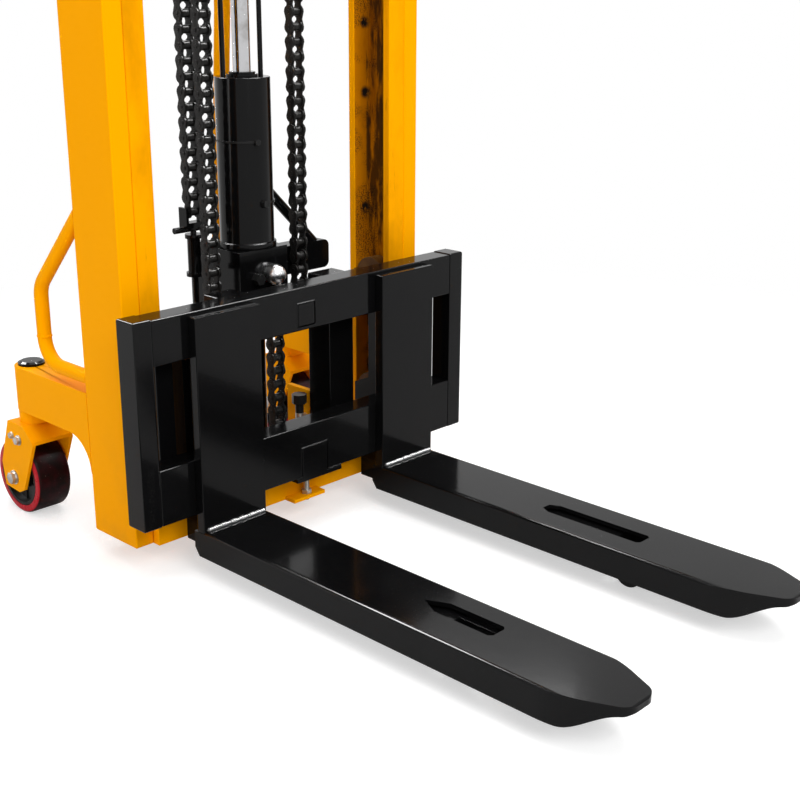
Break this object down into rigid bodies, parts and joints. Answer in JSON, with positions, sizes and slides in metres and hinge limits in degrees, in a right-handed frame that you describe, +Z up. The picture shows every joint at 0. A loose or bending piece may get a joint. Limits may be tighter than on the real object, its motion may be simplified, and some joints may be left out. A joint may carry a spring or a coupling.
{
  "type": "hand pallet stacker",
  "caption": "Manual hydraulic pallet stacker: tall fixed mast, lifting fork carriage with chains over a central jack, support legs, swivel casters and a pump tiller.",
  "frame": {"origin": "on the floor, under the centre of the bounding box", "axes": "+X to the machine's right seen from behind the mast, +Y from the fork tips towards the casters, +Z up"},
  "size_m": [0.852, 1.524, 2.1],
  "materials": {
    "mast_yellow": "semi-gloss",
    "gloss_black": "gloss",
    "jack_black": "semi-gloss",
    "chain_steel": "oiled",
    "bare_steel": "machined",
    "ram_chrome": "polished",
    "load_roller": "satin",
    "hub_black": "semi-gloss",
    "tread_red": "satin"
  },
  "bodies": {
    "chassis": {"mast_box_left": "mast_yellow", "mast_box_right": "mast_yellow", "mast_channel_left": "mast_yellow", "mast_channel_right": "mast_yellow", "mast_top_plate": "mast_yellow", "mast_cross_tie": "mast_yellow", "base_frame": "mast_yellow", "support_leg_left": "gloss_black", "support_leg_right": "gloss_black", "caster_arm_left": "mast_yellow", "caster_arm_right": "mast_yellow", "swivel_caps": "jack_black", "guard_tube_left": "mast_yellow", "lift_cylinder": "jack_black", "oil_jacket": "jack_black", "ram_gland": "jack_black", "fittings": "jack_black", "pump_block": "jack_black", "pump_strut": "jack_black", "guide_rods": "jack_black", "chain_anchors": "jack_black", "tie_chain": "chain_steel", "load_axles": "bare_steel", "rear_chain_left": "chain_steel", "rear_chain_right": "chain_steel"},
    "crosshead": {"ram_rod": "ram_chrome", "crosshead": "jack_black", "chain_wraps": "chain_steel"},
    "pulleys": {"chain_pulleys": "bare_steel"},
    "carriage": {"end_post_left": "gloss_black", "end_post_right": "gloss_black", "upper_beam": "gloss_black", "lower_beam": "gloss_black", "fork_shank_left": "gloss_black", "fork_shank_right": "gloss_black", "fork_blade_left": "gloss_black", "fork_blade_right": "gloss_black", "roller_plate_left": "gloss_black", "roller_plate_right": "gloss_black", "box_posts": "gloss_black", "chain_hooks": "gloss_black", "front_chains": "chain_steel"},
    "roller_lower_left": {"roller_lower_left": "bare_steel"},
    "roller_upper_left": {"roller_upper_left": "bare_steel"},
    "roller_lower_right": {"roller_lower_right": "bare_steel"},
    "roller_upper_right": {"roller_upper_right": "bare_steel"},
    "load_wheel_left": {"load_wheel_left": "load_roller"},
    "load_wheel_right": {"load_wheel_right": "load_roller"},
    "caster_left": {"caster_fork_left": "mast_yellow", "caster_axle_left": "bare_steel"},
    "caster_wheel_left": {"caster_hub_left": "hub_black", "caster_tyre_left": "tread_red"},
    "caster_right": {"caster_fork_right": "mast_yellow", "caster_axle_right": "bare_steel"},
    "caster_wheel_right": {"caster_hub_right": "hub_black", "caster_tyre_right": "tread_red"},
    "tiller": {"tiller": "mast_yellow", "tiller_handle": "mast_yellow"},
    "plunger": {"pump_plunger": "bare_steel"},
    "lever": {"release_lever": "jack_black"}
  },
  "joints": [
    {"name": "ram_lift", "type": "slide", "parent": "chassis", "child": "crosshead", "axis": [0, 0, 1], "range_m": [0, 0.75], "deforming": ["rear_chain_left", "rear_chain_right"]},
    {"name": "carriage_lift", "type": "slide", "parent": "crosshead", "child": "carriage", "axis": [0, 0, 1], "range_m": [0, 0.75], "deforming": ["front_chains"]},
    {"name": "pulley_spin", "type": "hinge", "parent": "crosshead", "child": "pulleys", "pos_m": [0, 0.379, 1.265], "axis": [1, 0, 0], "range_deg": [-1660, 0]},
    {"name": "roller_lower_left_spin", "type": "hinge", "parent": "carriage", "child": "roller_lower_left", "pos_m": [-0.317, 0.331, 0.19], "axis": [1, 0, 0], "range_deg": [-2080, 0]},
    {"name": "roller_lower_right_spin", "type": "hinge", "parent": "carriage", "child": "roller_lower_right", "pos_m": [0.317, 0.331, 0.19], "axis": [1, 0, 0], "range_deg": [-2080, 0]},
    {"name": "roller_upper_left_spin", "type": "hinge", "parent": "carriage", "child": "roller_upper_left", "pos_m": [-0.317, 0.331, 0.452], "axis": [1, 0, 0], "range_deg": [0, 2080]},
    {"name": "roller_upper_right_spin", "type": "hinge", "parent": "carriage", "child": "roller_upper_right", "pos_m": [0.317, 0.331, 0.452], "axis": [1, 0, 0], "range_deg": [0, 2080]},
    {"name": "load_wheel_left_spin", "type": "hinge", "parent": "chassis", "child": "load_wheel_left", "pos_m": [-0.235, -0.432, 0.03], "axis": [1, 0, 0], "continuous": true},
    {"name": "caster_left_swivel", "type": "hinge", "parent": "chassis", "child": "caster_left", "pos_m": [-0.347, 0.657, 0.215], "axis": [0, 0, 1], "continuous": true},
    {"name": "caster_wheel_left_spin", "type": "hinge", "parent": "caster_left", "child": "caster_wheel_left", "pos_m": [-0.347, 0.682, 0.08], "axis": [1, 0, 0], "continuous": true},
    {"name": "load_wheel_right_spin", "type": "hinge", "parent": "chassis", "child": "load_wheel_right", "pos_m": [0.235, -0.432, 0.03], "axis": [1, 0, 0], "continuous": true},
    {"name": "caster_right_swivel", "type": "hinge", "parent": "chassis", "child": "caster_right", "pos_m": [0.347, 0.657, 0.215], "axis": [0, 0, 1], "continuous": true},
    {"name": "caster_wheel_right_spin", "type": "hinge", "parent": "caster_right", "child": "caster_wheel_right", "pos_m": [0.347, 0.682, 0.08], "axis": [1, 0, 0], "continuous": true},
    {"name": "tiller_pull", "type": "hinge", "parent": "chassis", "child": "tiller", "pos_m": [0.018, 0.493, 0.53], "axis": [-1, 0, 0], "range_deg": [0, 45], "stiffness_Nm_per_rad": 40},
    {"name": "plunger_stroke", "type": "slide", "parent": "chassis", "child": "plunger", "axis": [0, 0, -1], "range_m": [0, 0.016]},
    {"name": "release_squeeze", "type": "hinge", "parent": "tiller", "child": "lever", "pos_m": [0.018, 0.50091, 1.10971], "axis": [1, 0, 0], "range_deg": [0, 8], "stiffness_Nm_per_rad": 0.6}
  ],
  "couplings": [
    {"joint": "carriage_lift", "follows": "ram_lift", "ratio": 1},
    {"joint": "pulley_spin", "follows": "ram_lift", "rad_per_m": -38.462},
    {"joint": "roller_lower_left_spin", "follows": "ram_lift", "rad_per_m": -48.309},
    {"joint": "roller_lower_right_spin", "follows": "ram_lift", "rad_per_m": -48.309},
    {"joint": "roller_upper_left_spin", "follows": "ram_lift", "rad_per_m": 48.309},
    {"joint": "roller_upper_right_spin", "follows": "ram_lift", "rad_per_m": 48.309},
    {"joint": "plunger_stroke", "follows": "tiller_pull", "m_per_rad": 0.0203}
  ]
}
